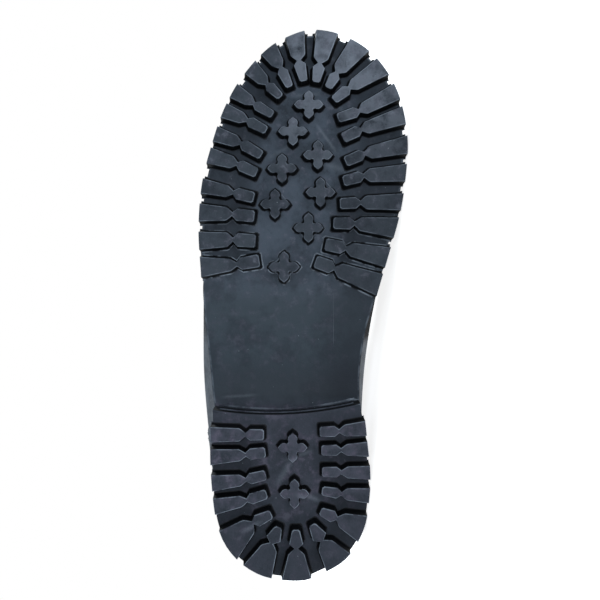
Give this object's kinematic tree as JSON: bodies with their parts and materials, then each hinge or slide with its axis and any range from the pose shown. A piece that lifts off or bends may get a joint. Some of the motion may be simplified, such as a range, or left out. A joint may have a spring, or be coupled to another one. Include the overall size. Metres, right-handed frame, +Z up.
{
  "type": "insulated work boot",
  "caption": "Lace-up insulated work boot for the right foot with a lugged rubber sole, a separate lugged heel, a padded collar and a padded tongue, lying on its inner side.",
  "frame": {"origin": "middle of the bounding box seen from above, on the surface that the boot lies on", "axes": "+X from heel to toe, +Y from the sole towards the collar, +Z up, out of the boot's outer side"},
  "size_m": [0.3102, 0.1892, 0.1126],
  "materials": {
    "rubber": "moulded rubber, satin on the walls and worn dull on the lug faces",
    "leather": "matte black oiled leather with a fine grain",
    "lining": "brushed textile over foam",
    "eyelet_metal": "black painted, slightly worn",
    "lace_cord": "woven round cord"
  },
  "bodies": {
    "root": {"outsole": "rubber", "heel": "rubber", "midsole": "rubber", "upper": "leather", "insole": "lining", "collar": "lining", "tongue": "leather", "eyelet_lateral_1": "eyelet_metal", "eyelet_lateral_2": "eyelet_metal", "eyelet_lateral_3": "eyelet_metal", "eyelet_lateral_4": "eyelet_metal", "eyelet_lateral_5": "eyelet_metal", "eyelet_lateral_6": "eyelet_metal", "eyelet_lateral_7": "eyelet_metal", "eyelet_medial_1": "eyelet_metal", "eyelet_medial_2": "eyelet_metal", "eyelet_medial_3": "eyelet_metal", "eyelet_medial_4": "eyelet_metal", "eyelet_medial_5": "eyelet_metal", "eyelet_medial_6": "eyelet_metal", "eyelet_medial_7": "eyelet_metal", "lace_crossing_1": "lace_cord", "lace_crossing_2": "lace_cord", "lace_crossing_3": "lace_cord", "lace_crossing_4": "lace_cord", "lace_crossing_5": "lace_cord", "lace_crossing_6": "lace_cord"}
  },
  "joints": []
}
